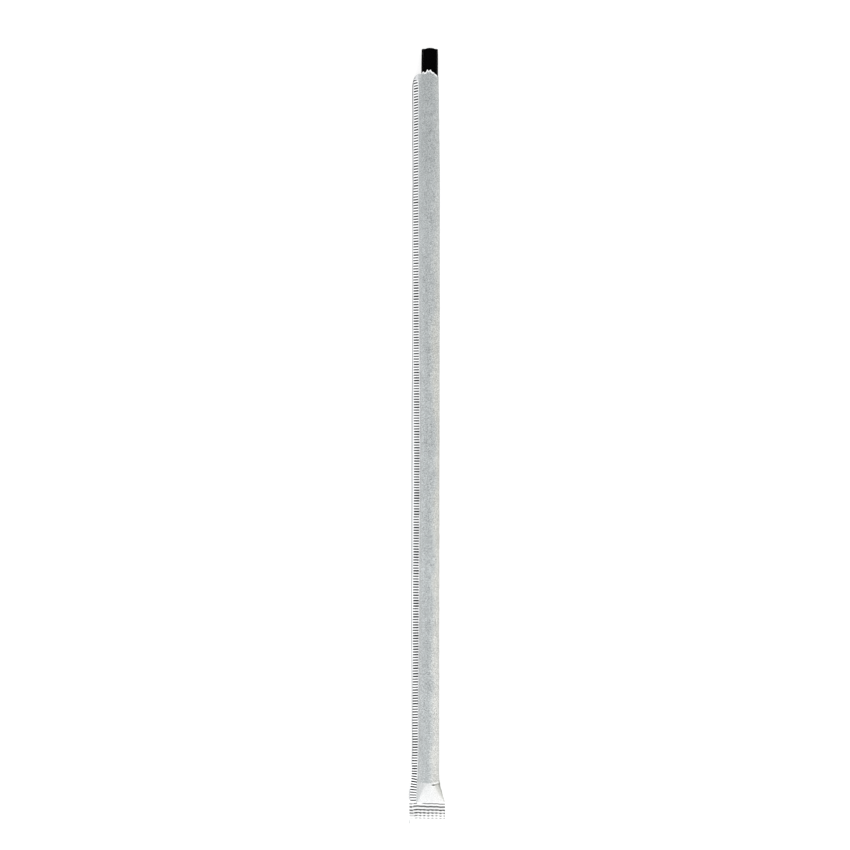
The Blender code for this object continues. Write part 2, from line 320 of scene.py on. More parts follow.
def tear_line(x, lower, seed):
    """y of the torn edge in m, at x from the straw's axis in m."""
    mm = x * 1000
    base = np.interp(mm, *(TEAR_BOTTOM if lower else TEAR_TOP).T)
    fray = 0.07 * jag(seed, 0.42, mm) + 0.06 * jag(seed + 1, 0.17, mm)
    return (base + fray) / 1000


def build_sleeve():
    sheet = Sheet()

    # --- fin: dense rows; columns from the root out over the top, then back
    # below. The knurled band has columns of its own.
    below = np.arange(FUNNEL_Y1, MOUTH, DENSE)
    below = np.append(below[:-1], MOUTH)
    first_band = 0.00012

    def fin_columns(y):
        """Root, outer edge and distances across the fin, per row."""
        xa, za, xo, zo, _ = smooth(y).T
        u = np.clip((FUNNEL_Y0 - y) / (FUNNEL_Y0 - FUNNEL_Y1), 0, 1)
        xa, za = xa + (SEAL_INNER - xa) * u, za + (SEAL_Z[0] - za) * u
        xo, zo = xo + (SEAL_LEFT - xo) * u, zo + (SEAL_Z[0] - zo) * u
        root, edge = np.stack([xa, za - STRAW_Z], 1), np.stack([xo, zo - STRAW_Z], 1)
        wide = np.linalg.norm(edge - root, axis=1)
        end = np.minimum(first_band + BAND, wide - 0.00010)
        rows = [np.zeros(len(y)), np.full(len(y), first_band)]
        rows += [first_band + (end - first_band) * f for f in (0.10, 0.30, 0.5, 0.70, 0.90, 1.0)]
        rows += [end + (wide - end) * f for f in (0.40, 0.75, 1.0)]
        return root, edge, np.stack(rows, 1), wide, end

    root, edge, across, wide, end = fin_columns(below)
    count = across.shape[1]
    # rows of the mouth part run up to the torn edge
    levels = np.linspace(0, 1, 1 + int(round(0.0045 / DENSE)))[1:]
    away = (edge - root) / wide[:, None]
    up = np.stack([away[:, 1], -away[:, 0]], 1)  # normal of the upper face

    def fin_points(y, root, away, up, across, sign):
        flat = root[:, None] + away[:, None] * across[..., None] + PAPER * sign * up[:, None]
        return np.stack([flat[..., 0], np.broadcast_to(y[:, None] if y.ndim == 1 else y, flat.shape[:2]), flat[..., 1]], -1)

    # the root's corners, as the sleeve has them
    def root_corners(y, root, away, sign):
        """Where the outer faces of tube and fin meet."""
        found = np.empty((len(y), 2))
        keys = np.unique(np.concatenate([np.linspace(FUNNEL_Y0, 0.131, 200), [FUNNEL_Y0]]))
        corner = np.array([section(k, (8, 4, 2, 4))[0][0 if sign > 0 else -1] for k in keys])
        base = np.stack([smooth(keys)[:, 0], smooth(keys)[:, 1] - STRAW_Z], 1)
        off = corner - base
        u = np.clip((FUNNEL_Y0 - y) / (FUNNEL_Y0 - FUNNEL_Y1), 0, 1)[:, None]
        own = np.stack([np.interp(y, keys, off[:, c]) for c in (0, 1)], 1)
        return root + own * (1 - u) + np.array([0.0, PAPER * sign]) * u

    sides = {}
    for sign in (1, -1):
        pts = fin_points(below, root, away, up, across, sign)
        pts[:, 0, [0, 2]] = root_corners(below, root, away, sign)
        # the mouth part: the columns' shape stays that of their own height
        x_mouth = pts[-1, :, 0]
        tear = tear_line(x_mouth, False, 11)
        y_up = MOUTH + (tear[None] - MOUTH) * levels[:, None]
        rows_up = []
        for level, yy in zip(levels, y_up):
            r, e, a, w, _ = fin_columns(yy)
            aw = (e - r) / w[:, None]
            u_ = np.stack([aw[:, 1], -aw[:, 0]], 1)
            k = np.arange(count)
            flat = r + aw * a[k, k][:, None] + PAPER * sign * u_
            flat[0] = root_corners(yy[:1], r[:1], aw[:1], sign)[0]
            rows_up.append(np.stack([flat[:, 0], yy, flat[:, 1]], -1))
        pts = np.concatenate([pts, np.array(rows_up)])
        normal = np.stack([up[:, 0], np.zeros(len(up)), up[:, 1]], -1)
        normal = np.concatenate([normal, np.repeat(normal[-1:], len(levels), 0)])
        normal = np.broadcast_to(normal[:, None], pts.shape)
        a_all = np.concatenate([across, np.repeat(across[-1:], len(levels), 0)])
        ids = sheet.add(pts, FIN, root=a_all * 1000, tear=(tear[None] - pts[..., 1]) * 1000, normal=normal)
        sides[sign] = (ids, pts, a_all)
    dense_rows = len(below)

    # the map: p across in mm (fin left of 0), q along in mm
    top_ids, top_pts, a_all = sides[1]
    low_ids, low_pts, _ = sides[-1]
    q = top_pts[..., 1] * 1000
    sheet.grid(top_ids, -a_all * 1000, q, 0)
    LOW = 21.5  # where the lower side of the fin starts on the map
    sheet.grid(low_ids, LOW + a_all * 1000, low_pts[..., 1] * 1000, 0)
    rim_p = np.array([0.0, 0.25])
    rim_ids = np.stack([top_ids[:, -1], low_ids[:, -1]], 1)
    sheet.grid(rim_ids, rim_p[None], np.stack([q[:, -1], q[:, -1]], 1), 1)

    # --- tube, outer surface
    coarse_y = np.linspace(FINE_TOP, MOUTH, 1 + int(round((MOUTH - FINE_TOP) / 0.0010)))
    coarse = [section(y, COARSE)[0] for y in coarse_y]
    coarse_ids = sheet.add(np.array([lines(y, row[1:-1]) for y, row in zip(coarse_y, coarse)]), OUTER)
    p_of = lambda row: arc(row) * 20.5 / arc(row)[-1]
    coarse_p = np.array([p_of(row) for row in coarse])
    sheet.grid(coarse_ids, coarse_p[:, 1:-1], coarse_y[:, None] * 1000, 0)

    def root_zip(dense_ids, dense_y, own_ids, own_y, side_p, own_p):
        map_d = [(side_p, v * 1000) for v in dense_y]
        map_o = [(p, v * 1000) for p, v in zip(own_p, own_y)]
        sheet.zipper(dense_ids, own_ids, dense_y, own_y, map_d, map_o, 0)

    # the dense row nearest to where fine columns begin
    low_row = int(np.argmin(abs(below - FINE_TOP)))
    top_row = dense_rows - 1
    for ids, k, side_p in ((top_ids, 0, 0.0), (low_ids, -1, 20.5)):
        own = coarse_p[:, 1] if k == 0 else coarse_p[:, -2]
        root_zip(ids[low_row : top_row + 1, 0], below[low_row : top_row + 1], coarse_ids[:, k], coarse_y, side_p, own)

    # --- fine columns at the lower end: round, then the funnel
    full = section(FUNNEL_Y0, FINE)
    flat = flat_section(full[1], SEAL_Z[0], FINE)
    fine_y = np.concatenate([
        np.linspace(below[low_row - 1], FUNNEL_Y0, 14),
        FUNNEL_Y0 + (FUNNEL_Y1 - FUNNEL_Y0) * np.linspace(0, 1, 31)[1:],
    ])
    fine = []
    for y in fine_y:
        if y >= FUNNEL_Y0:
            fine.append(section(y, FINE)[0])
        else:
            u = (FUNNEL_Y0 - y) / (FUNNEL_Y0 - FUNNEL_Y1)
            fine.append(full[0] + (flat[0] - full[0]) * u)
    fine_ids = sheet.add(np.array([lines(y, row[1:-1]) for y, row in zip(fine_y, fine)]), OUTER)
    fine_p = np.array([p_of(row) for row in fine])
    sheet.grid(fine_ids, fine_p[:, 1:-1], fine_y[:, None] * 1000, 0)
    for ids, k, side_p in ((top_ids, 0, 0.0), (low_ids, -1, 20.5)):
        own = (fine_p[:, 1] if k == 0 else fine_p[:, -2])[::-1]
        root_zip(ids[:low_row, 0], below[:low_row], fine_ids[::-1, k], fine_y[::-1], side_p, own)
    # from coarse to fine columns
    a = np.concatenate([[top_ids[low_row, 0]], coarse_ids[0], [low_ids[low_row, 0]]])
    b = np.concatenate([[top_ids[low_row - 1, 0]], fine_ids[0], [low_ids[low_row - 1, 0]]])
    sheet.zipper(a, b, coarse_p[0], fine_p[0], [(p, coarse_y[0] * 1000) for p in coarse_p[0]], [(p, fine_y[0] * 1000) for p in fine_p[0]], 0)

    # --- fine columns at the mouth, up to the torn edge
    def mouth_rows(inner):
        base = section(MOUTH, FINE)[1 if inner else 0]
        number = np.arange(len(base))
        tear = np.where(number <= FINE[0], tear_line(base[:, 0], False, 11), tear_line(base[:, 0], True, 23))
        # the tear drops from the fin's root to the lower side along the sleeve
        rows, ys = [], []
        for v in RIM_ROWS[1:] if not inner else RIM_ROWS:
            y = MOUTH + (tear - MOUTH) * v
            line = section(MOUTH + 0.005 * v, FINE)[1 if inner else 0]
            rows.append(np.stack([line[:, 0], y, line[:, 1]], -1))
            ys.append(y)
        return np.array(rows), np.array(ys), tear

    rows, ys, tear = mouth_rows(False)
    mouth_p = p_of(section(MOUTH, FINE)[0])
    # the root's own points end the rows
    mouth_ids = sheet.add(rows[:, 1:-1], OUTER, tear=(tear[None, 1:-1] - ys[:, 1:-1]) * 1000)
    sheet.grid(mouth_ids, mouth_p[None, 1:-1], ys[:, 1:-1] * 1000, 0)
    a = np.concatenate([[top_ids[top_row, 0]], coarse_ids[-1], [low_ids[top_row, 0]]])
    b = np.concatenate([[top_ids[top_row + 1, 0]], mouth_ids[0], [low_ids[top_row + 1, 0]]])
    sheet.zipper(a, b, coarse_p[-1], mouth_p, [(p, MOUTH * 1000) for p in coarse_p[-1]], [(p, v * 1000) for p, v in zip(mouth_p, ys[0])], 0)
    for ids, pts, k, side_p in ((top_ids, top_pts, 0, 0.0), (low_ids, low_pts, -1, 20.5)):
        dense_v = pts[top_row + 1 :, 0, 1]
        own_col = mouth_ids[:, k]
        own_y = ys[:, 1 if k == 0 else -2]
        # matched by their share of the way up
        share_d = (dense_v - dense_v[0]) / (dense_v[-1] - dense_v[0])
        share_o = (own_y - own_y[0]) / (own_y[-1] - own_y[0])
        sheet.zipper(ids[top_row + 1 :, 0], own_col, share_d, share_o, [(side_p, v * 1000) for v in dense_v], [(mouth_p[1 if k == 0 else -2], v * 1000) for v in own_y], 0)

    # --- hollow: coarse rows from the closed end to the mouth, fine at the rim
    in_flat = section(FUNNEL_Y0, IN_COARSE)
    in_end = flat_section(in_flat[1], SEAL_Z[0], IN_COARSE)[1]
    in_y = np.concatenate([
        FUNNEL_Y1 + (FUNNEL_Y0 - FUNNEL_Y1) * np.array([0, 0.15, 0.3, 0.45, 0.6, 0.75, 0.88]),
        [FUNNEL_Y0, -0.12375, -0.12350, -0.12325, -0.12300, -0.12270, -0.12240],
        np.linspace(-0.1220, MOUTH - 0.0002, 125),
    ])
    in_rows = []
    for y in in_y:
        if y < FUNNEL_Y0:
            u = (FUNNEL_Y0 - y) / (FUNNEL_Y0 - FUNNEL_Y1)
            in_rows.append(in_flat[1] + (in_end - in_flat[1]) * u)
        else:
            in_rows.append(section(y, IN_COARSE)[1])
    in_rows = np.array(in_rows)
    in_ids = sheet.add(np.array([lines(y, row[:-1]) for y, row in zip(in_y, in_rows)]), INNER)
    in_ids = np.concatenate([in_ids, in_ids[:, :1]], axis=1)
    in_p = np.array([p_of(row) for row in in_rows]) / 2
    sheet.grid(in_ids, in_p, in_y[:, None] * 1000, 2)
    slit, half = in_ids[0], sum(IN_COARSE) // 2
    n = sum(IN_COARSE)
    cap = [(slit[0], slit[1], slit[n - 1])]
    rest_q = [(slit[i], slit[i + 1], slit[n - i - 1], slit[n - i]) for i in range(1, half - 1)]
    cap.append((slit[half - 1], slit[half], slit[half + 1]))
    sheet.tris.append(np.array(cap))
    sheet.tri_map.append(np.tile(np.array([3.0, 0, 0]), (len(cap), 3, 1)) + np.array([[0, 0, 0], [0, .3, 0], [0, 0, .3]]))
    sheet.quads.append(np.array(rest_q))
    sheet.quad_map.append(np.tile(np.array([3.0, 0, 0]), (len(rest_q), 4, 1)) + np.array([[0, 0, 0], [0, .3, 0], [0, .3, .3], [0, 0, .3]]))
    rows, in_ys, in_tear = mouth_rows(True)
    # the inner rim is a little below the outer one: the edge thins out
    rows[..., 1] = MOUTH + (rows[..., 1] - MOUTH) * 0.985
    lip_ids = sheet.add(rows[:, :-1], INNER, tear=(in_tear[None, :-1] - rows[:, :-1, 1]) * 1000)
    lip_ids = np.concatenate([lip_ids, lip_ids[:, :1]], axis=1)
    lip_p = mouth_p / 2
    sheet.grid(lip_ids, lip_p[None], rows[..., 1] * 1000, 2)
    sheet.zipper(in_ids[-1], lip_ids[0], in_p[-1], lip_p, [(p, in_y[-1] * 1000) for p in in_p[-1]], [(p, v * 1000) for p, v in zip(lip_p, rows[0, :, 1])], 2)

    # --- torn rim
    rim_out = np.concatenate([[top_ids[-1, 0]], mouth_ids[-1], [low_ids[-1, 0]]])
    rim_ids = np.stack([rim_out, lip_ids[-1]], 0)
    sheet.grid(rim_ids, mouth_p[None], np.array([[0.0], [0.25]]), 4)
    fin_rim = np.stack([top_ids[-1], low_ids[-1]], 0)
    sheet.grid(fin_rim, a_all[-1][None] * 1000 + 22, np.array([[0.0], [0.25]]), 4)
    sheet.tris.append(np.array([[top_ids[-1, 0], lip_ids[-1, 0], low_ids[-1, 0]]]))
    sheet.tri_map.append(np.array([[[3.0, 1, 0], [3.0, 1.3, 0], [3.0, 1, 0.3]]]))

    # --- end seal: a fine flat pad of its own
    seal_x = np.linspace(SEAL_LEFT, SEAL_RIGHT, 113)
    seal_y = np.linspace(FUNNEL_Y1 - 0.0001, SEAL_END_Y, 74)
    z_at = np.interp(seal_y, [SEAL_END_Y, FUNNEL_Y1], SEAL_Z[::-1])
    pads = {}
    for sign in (1, -1):
        grid_x, grid_y = np.meshgrid(seal_x, seal_y)
        z = np.repeat(z_at[:, None], len(seal_x), 1) - STRAW_Z + PAPER * sign
        pads[sign] = sheet.add(np.stack([grid_x, grid_y, z], -1), SEAL)
        sheet.grid(pads[sign], (grid_x - SEAL_LEFT) * 1000 + (0 if sign > 0 else 14.5), (grid_y - SEAL_END_Y) * 1000, 5)
    for k, at in ((0, 30.0), (-1, 30.6)):
        sheet.grid(np.stack([pads[1][:, k], pads[-1][:, k]], 1), np.array([[at, at + 0.25]]), (seal_y[:, None] - SEAL_END_Y) * 1000, 5)
    sheet.grid(np.stack([pads[1][-1], pads[-1][-1]], 0), (seal_x[None] - SEAL_LEFT) * 1000, np.array([[8.2], [8.45]]), 5)
    # from the fin and the funnel to the pad, above and below
    over = FINE[0]
    lowest = fine_ids[-1]
    upper = np.concatenate([top_ids[0, ::-1], lowest[: over]])
    upper_x = np.concatenate([-a_all[0, ::-1] + SEAL_INNER, flat[0][1 : over + 1, 0]])
    lower = np.concatenate([low_ids[0, ::-1], lowest[over - 1 :][::-1]])
    lower_x = np.concatenate([-a_all[0, ::-1] + SEAL_INNER, flat[0][over:-1, 0][::-1]])
    for line, line_x, sign, at in ((upper, upper_x, 1, 0), (lower, lower_x, -1, 14.5)):
        line_x = np.maximum.accumulate(line_x)
        sheet.zipper(line, pads[sign][0], line_x, seal_x, [((x - SEAL_LEFT) * 1000 + at, 7.65) for x in line_x], [((x - SEAL_LEFT) * 1000 + at, 7.5) for x in seal_x], 5)
    right = lowest[over - 1]
    sheet.tris.append(np.array([[right, pads[1][0, -1], pads[-1][0, -1]]]))
    sheet.tri_map.append(np.array([[[3.0, 2, 0], [3.0, 2.3, 0], [3.0, 2, 0.3]]]))
    sheet.quads.append(np.array([[top_ids[0, -1], low_ids[0, -1], pads[-1][0, 0], pads[1][0, 0]]]))
    sheet.quad_map.append(np.array([[[3.0, 3, 0], [3.0, 3.3, 0], [3.0, 3.3, 0.3], [3.0, 3, 0.3]]]))
    return sheet


# ---------------------------------------------------------------------------
# Relief and tone, worked out for each point
# ---------------------------------------------------------------------------
def seal_grooves(x, y):
    """How deep in a crimp groove of the end seal, 0 to 1, at x, y (mm, x from
    the straw's axis). Rows of cross crimps, broken up by fine ribs that cross
    them, with rows of their own where the fin's ribs cross the seal."""
    rows = ((-130.33, 0.92, 0.18), (-131.42, 1.02, 0.28), (-132.61, 1.2, 0.27), (-133.69, 1.2, 0.27), (-134.67, 1.0, 0.21), (-135.55, 0.66, 0.18), (-136.50, 0.10, 0.14))
    comb = 0.5 + 0.5 * np.cos(2 * math.pi * (x + 4.85) / 1.437)
    wander = 0.07 * np.sin(x * 1.9 + 0.4) * np.sin(x * 0.83 + 2.0)
    body = np.zeros(np.broadcast(x, y).shape)
    left = np.zeros_like(body)
    border = -6.05 + 0.5 * soft(-131.0, -134.5, y) + 0.12 * np.sin((y + 131.38) * 2 * math.pi / 1.07)
    inside = soft(border - 0.05, border + 0.14, x)
    for k, (row, strength, half) in enumerate(rows):
        gap = y - (row - (0.036 - 0.004 * k) * (np.maximum(x, -2.5) + 1.0) + wander + (0.08 * soft(-0.5, -3.5, x) if k == 1 else 0.0))
        # the lower edge of a groove is scalloped, more so further down
        scallop = (0.0, 0.0, 0.4, 0.55, 0.6, 0.6, 0.7)[k]
        reach = np.where(gap < 0, half * (1 - scallop * (1 - comb)), half)
        broken = 1 - (0.0, 0.0, 0.15, 0.4, 0.75, 0.75, 0.8)[k] * (1 - comb) ** 1.5 * soft(-6.0, 4.5 - 1.5 * k, x) ** 0.5
        here = strength * broken
        if k == 0:
            here = here * (0.12 + 0.88 * soft(-3.3, -2.0, x) + 1.0 * soft(-5.9, -5.6, x) * soft(-4.4, -4.7, x))
        if k in (3, 4):
            here = here * (1 - 0.18 * soft(-0.5, 3.0, x))
        body = np.maximum(body, here * np.exp(-(np.abs(gap) / reach) ** 2.4 * 0.8))
    for row, strength in ((-130.42, 0.75), (-131.53, 1.2), (-132.72, 1.1), (-133.72, 0.95), (-134.62, 0.5), (-135.6, 0.2)):
        gap = y - (row - 0.08 * (x + 6.7))
        left = np.maximum(left, strength * np.exp(-(np.abs(gap) / 0.26) ** 2.2 * 0.8))
    left *= soft(-7.33, -7.20, x) * (1 - 0.9 * soft(-0.28, -0.05, x - border))
    # short slanting strokes where the two patterns meet
    stroke = np.zeros_like(body)
    for row in (-130.05, -131.25, -132.4, -133.5, -134.4):
        along = (x - (border - 0.25)) / 0.55
        line = row - 0.55 * along
        stroke = np.maximum(stroke, 0.8 * np.exp(-((y - line) / 0.12) ** 2) * soft(-0.1, 0.15, along) * soft(1.15, 0.9, along))
    return np.minimum(np.maximum(np.maximum(body * inside, left), stroke), 1.0)


def shape_and_tone(rows):
    """Moves the points for the ribs, crimps, puckers and the paper's own
    unevenness, and returns places, colours and the ribs' numbers."""
    place, kind, root, tear = rows[:, :3].copy(), rows[:, 3].astype(int), rows[:, 4], rows[:, 5]
    normal = rows[:, 6:9]
    x, y, z = place[:, 0] * 1000, place[:, 1] * 1000, place[:, 2] * 1000
    fin, seal, outer, inner = (kind == k for k in (FIN, SEAL, OUTER, INNER))

    # --- knurled fin
    xa, za, xo, zo, right = (v * 1000 for v in smooth(place[:, 1]).T)
    down = np.clip((FUNNEL_Y0 * 1000 - y) / 5.8, 0, 1)
    xa, xo = xa + (SEAL_INNER * 1000 - xa) * down, xo + (SEAL_LEFT * 1000 - xo) * down
    wide = np.hypot(xo - xa, (zo - za) * (1 - down))
    band_end = np.minimum(2.32 - 0.145 * soft(-68.0, -78.0, y), wide - 0.10)
    # near the tear the band swings out a little, and by the end seal it
    # reaches the fin's root
    start = 0.12 - 0.17 * soft(-120.5, -123.0, y)
    band = (root - start - 0.35 * soft(124.2, 127.0, y)) / (band_end - start)
    middle = xa + (xo - xa) * 0.5
    lean = np.interp(y, *LEAN.T)
    along = y - lean * (x - middle)
    phase = rib_count(along - np.interp(along, *SLIP.T))
    off = np.abs(phase - np.round(phase))  # 0 in a groove, 0.5 on a rib
    groove = np.exp(-((off / 0.19) ** 2))
    at_band = soft(0.0, 0.11, band) * soft(1.0, 0.90, band)
    stop = 0.35 + 1.75 * soft(-5.4, -4.6, x)
    near_tear = soft(0.75, 1.25, tear / stop)
    depth = 1000 * RIB_DEPTH * (1 - 2 * groove) * at_band * near_tear * fin
    flutter = 0.05 * ripple(y / 6.0, x / 9.0, bumps(5, 10, 3.0, 0.6)) * soft(0.2, 1.6, root) * fin
    move = normal * (depth + flutter)[:, None]

    # --- end seal: both faces move together
    seal_groove_shade = np.zeros(len(x))
    on_seal = seal
    g = seal_grooves(x[on_seal], y[on_seal])
    # painted shade: the base colour is darkened in the seal's grooves, by their depth
    seal_groove_shade[on_seal] = g
    fade = soft(-137.4, -136.2, y[on_seal])
    lift = -0.17 * g * soft(-7.31, -6.9, x[on_seal]) * soft(5.38, 5.1, x[on_seal])
    wave = 0.10 * np.sin(x[on_seal] * 0.62 + 1.1) + 0.04 * ripple(x[on_seal], y[on_seal], bumps(9, 8, 5.0, 1.5))
    move[on_seal, 2] += lift + wave * soft(-130.2, -133.5, y[on_seal]) + 0.05 * (1 - fade) * np.sin(x[on_seal] * 1.7)

    # --- tube: a little uneven, only outwards, so that the straw stays free
    tube = outer | inner
    radial = np.stack([x, np.zeros(len(x)), z], 1)
    radial /= np.maximum(np.linalg.norm(radial, axis=1), 1e-6)[:, None]
    angle = np.arctan2(z, x)
    uneven = 0.5 + 0.5 * ripple(y / 2.2, angle * 3.1, bumps(3, 14, 9.0, 1.4))
    fine_wrinkle = np.maximum(0, ripple(y + angle * 1.2, angle * 3.1 - y * 0.1, bumps(4, 16, 4.5, 0.9)) - 0.15)
    free = soft(-4.0, -2.9, x) * soft(0.02, 0.25, np.abs(z + 3.15)) * soft(-129.6, -124.6, y)
    out = (0.055 * uneven + 0.05 * fine_wrinkle) * free * tube
    # pucker by the straw's end: two small humps with a dent below them
    hump = lambda cx, cy, sx, sy: np.exp(-(((x - cx) / sx) ** 2) - (((y - cy) / sy) ** 2)) * (z > 0)
    pucker = 0.22 * hump(1.07, -122.88, 0.40, 0.24) + 0.20 * hump(2.3, -122.55, 0.55, 0.24)
    dent = 0.30 * np.where(inner, hump(1.3, -123.50, 0.95, 0.50), hump(1.27, -123.40, 0.46, 0.26))
    out += pucker * outer - dent * tube
    move += radial * out[:, None]
    bulge = np.interp(y, (-129.8, -128.9, -128.0, -125.5, -124.2, -123.0, -121.8, -118.0, -114.0), (0.0, 0.07, 0.20, 0.22, 0.12, 0.01, -0.07, -0.06, 0.0))
    move[:, 0] -= bulge * fin * soft(0.6, 2.2, root)
    fit_y = (-129.8, -127.3, -125.5, -124.5, -122.6, -121.9, -120.5, -115.0, -60.0, -26.0, 112.0, 119.0, 123.0, 131.0)
    fit_by = (0.0, 0.03, 0.27, 0.28, 0.26, 0.0, -0.03, 0.02, -0.01, 0.0, -0.05, -0.07, -0.12, -0.17)
    move[:, 0] += np.interp(y, fit_y, fit_by) * soft(1.2, 3.0, x) * tube
    # lips of the torn mouth stand off a little
    curl = soft(1.3, 0.0, tear) * soft(0.1, 0.9, z / 3.2)
    move += radial * (0.08 * curl * tube * (0.6 + 0.4 * np.sin(x * 2.3)) * soft(2.6, 1.2, x))[:, None]
    place += move / 1000

    # --- tones: how light the paper is, as a camera shows it, 0 to 255: the black straw showing through, and painted light. The tube grows lighter towards the sealed end, partly as the straw shows through less and partly as painted light; its right side is painted lighter and warmer where the lamp falls, and its left side lighter by the fin's root.
    v = np.clip((128.0 - y) / 251.0, 0, 1)
    left = 190 + 20 * soft(0.0, 0.45, v) - 3 * soft(0.78, 0.95, v)
    centre = 176 + 15 * soft(0.0, 0.6, v) - 5 * soft(0.30, 0.42, v) * soft(0.95, 0.88, v)
    lit_right_tone = 190 + 26 * v + 3.0 * soft(0.70, 0.88, v) - 4.5 * soft(0.95, 0.98, v)
    fold = 1.3 + 0.85 * soft(0.25, 0.0, v) + 0.35 * np.exp(-(((v - 0.56) / 0.12) ** 2)) - 0.35 * soft(0.30, 0.36, v) * soft(0.52, 0.46, v) - 0.58 * soft(0.74, 0.83, v) * (1 - 0.6 * soft(0.88, 0.95, v)) + 0.55 * ripple(y / 14.0, y / 31.0, bumps(8, 6, 2.0, 0.5))
    tone = centre + 3.0 * np.exp(-(((x - 0.25) / 0.6) ** 2)) * (1 - soft(0.36, 0.46, v) * soft(0.74, 0.64, v)) + (left - centre) * soft(-0.8 + 0.5 * soft(0.80, 0.90, v), -3.5, x) + (lit_right_tone - centre) * soft(fold - 1.3, fold + 1.0, x)
    lit_side_warmth = soft(fold - 1.0, fold + 1.4, x)
    # the web between straw and fin, and the paper past the straw's end
    end_at = STRAW_END_Y * 1000 + 0.20 + 0.05 * np.sin(x * 3.0)
    past = soft(end_at + 0.10, end_at - 0.14, y)
    u = np.clip((-123.3 - y) / 6.5, 0, 1)
    edge_left, edge_right = -1.75 - 2.35 * u, 1.35 + 2.5 * u + 1.1 * soft(0.4, 0.9, u)
    # the funnel's facets: the top one light, with nothing dark behind it, the side ones in painted shade
    facet = 232 + 7 * u
    shaded_left_facet = 226 - 8 * u - 9 * soft(0.6, 1.0, u)
    shaded_right_facet = 210 + 12 * u
    own = shaded_left_facet + (facet - shaded_left_facet) * soft(edge_left - 0.9, edge_left + 0.45, x)
    own = own + (shaded_right_facet - own) * soft(edge_right - 0.35, edge_right + 0.5, x)
    right_now = right + (SEAL_RIGHT * 1000 - right) * down
    # painted shade along the funnel's right edge
    own = own - np.interp(u, (0.0, 0.1, 0.25, 0.45, 0.7, 1.0), (50, 42, 21, 23, 10, 8)) * soft(0.75, 0.2, right_now - x)
    tone_mid = tone + (own - tone) * past
    crest = -122.86 + 0.50 * soft(1.5, 2.8, x)  # the pucker's crest gets a painted highlight, and the fold below it painted shadow
    light = 1.2 * hump(1.07, -122.86, 0.40, 0.24) + 1.3 * np.exp(-(((y - crest) / 0.18) ** 2)) * soft(1.0, 1.5, x) * soft(2.95, 2.6, x) * (z > 0)
    # a second painted highlight, below the dent
    light += 1.2 * hump(1.2, -123.88, 0.60, 0.20)
    light = np.clip(light, 0, 1) * outer
    tone_mid = tone_mid + (255 - tone_mid) * light
    # painted shadow: a dark spot in the dent and a dark line under the crest
    tone_mid -= 200 * hump(1.25, -123.38, 0.41, 0.26) + 42 * np.exp(-(((y + 123.22) / 0.20) ** 2)) * soft(1.5, 1.9, x) * soft(3.2, 2.9, x) * (z > 0)
    # painted shade in the crease along the fin's root
    crease_shade = 7 * soft(0.55, 0.1, np.abs(x - (xa + 0.32))) * (z > -0.9) * (0.6 + 0.4 * ripple(y, y * 0.3, bumps(12, 10, 3.0, 0.8))) * soft(110, 60, y)
    tone_mid -= crease_shade * (1 - past)
    # painted light: the upper paper is made lighter along the right edge, beside the fin's root and near the tear at
    # the left
    tone_mid += (9 * soft(1.4, 0.3, right_now - x) * soft(0.56, 0.40, v) * (1 - past) + 8 * soft(-2.4, -3.7, x) * (1 - past) * (1 - 0.5 * soft(0.86, 0.93, v)) + 20 * soft(2.4, 1.2, tear) * soft(-2.9, -3.4, x)) * (z > -1.2)
    fin_tone = np.full(len(x), 255.0)
    # a narrow grey line just inside the fin's outer edge: the paper's edge with painted shadow under it; and painted
    # shade by the fin's root
    low_part = soft(36, 8, y) * soft(-56, -46, y)  # where the line is broad and faint
    line_at = wide - 0.12 - 0.11 * low_part - 0.10 * soft(108, 101, y) * soft(80, 86, y)
    line_wide = 0.17 + 0.12 * low_part + 0.10 * soft(72, 84, y) + 0.03 * soft(100, 110, y)
    edge_line_shade = (0.3 + 0.7 * soft(-119, -112, y) + 0.9 * soft(-125.0, -126.0, y)) * soft(-129.3, -128.7, y) * (1 - 0.15 * low_part - 0.3 * soft(-72, -78, y))
    fin_tone -= (112 + 14 * np.sin(y * 0.05) + 22 * soft(60, 100, y) + 58 * soft(100, 110, y)) * np.exp(-(((root - line_at) / line_wide) ** 2)) * edge_line_shade
    # painted shade along the fin's root, in the corner with the tube
    root_shade_weight = soft(50, 58, y) * soft(124, 118, y) + soft(-70, -76, y)
    fin_tone -= (14 + 26 * root_shade_weight) * soft(0.30, 0.0, root) * (1 - down)
    fin_tone -= 40 * (1 - near_tear) * soft(-5.9, -5.0, x)
    # painted shadow along the fin's torn edge
    fin_tone -= 165 * np.exp(-((tear / (0.30 + 0.75 * soft(-5.0, -5.5, x))) ** 2)) * soft(-4.6, -5.1, x) * (0.55 + 0.45 * np.sin(y * 6.1 - 1.5))
    seal_tone = np.full(len(x), 251.0)
    seal_tone[on_seal] -= 10 * (1 - fade)
    seal_tone -= 60 * soft(-6.95, -7.25, x) * soft(-135.2, -136.8, y) * seal
    value = np.where(fin, fin_tone, np.where(seal, seal_tone, tone_mid))
    value = np.where(inner, 205 + 8 * v, value)
    # torn edge: a band of loose white fibres, widest on the peaks
    fibre = 0.19 + 0.20 * jag(31, 0.5, x) + 0.12 * jag(32, 0.2, x) + 0.16 * np.exp(-((x + 2.4) / 0.3) ** 2) + 0.18 * np.exp(-((x + 0.95) / 0.3) ** 2) + 0.16 * np.exp(-((x - 0.2) / 0.4) ** 2)
    white = soft(fibre + 0.30, fibre, tear) * (outer | inner) * soft(-3.2, -2.8, x) * soft(2.8, 2.4, x)
    value = value + (252 - value) * white
    cool = np.array((0.945, 1.0, 1.012))
    warm_tint = np.array((0.992, 1.0, 0.935))
    grey = (1 - np.clip((value - 200) / 40, 0, 1))[:, None] * 0.9 + 0.1
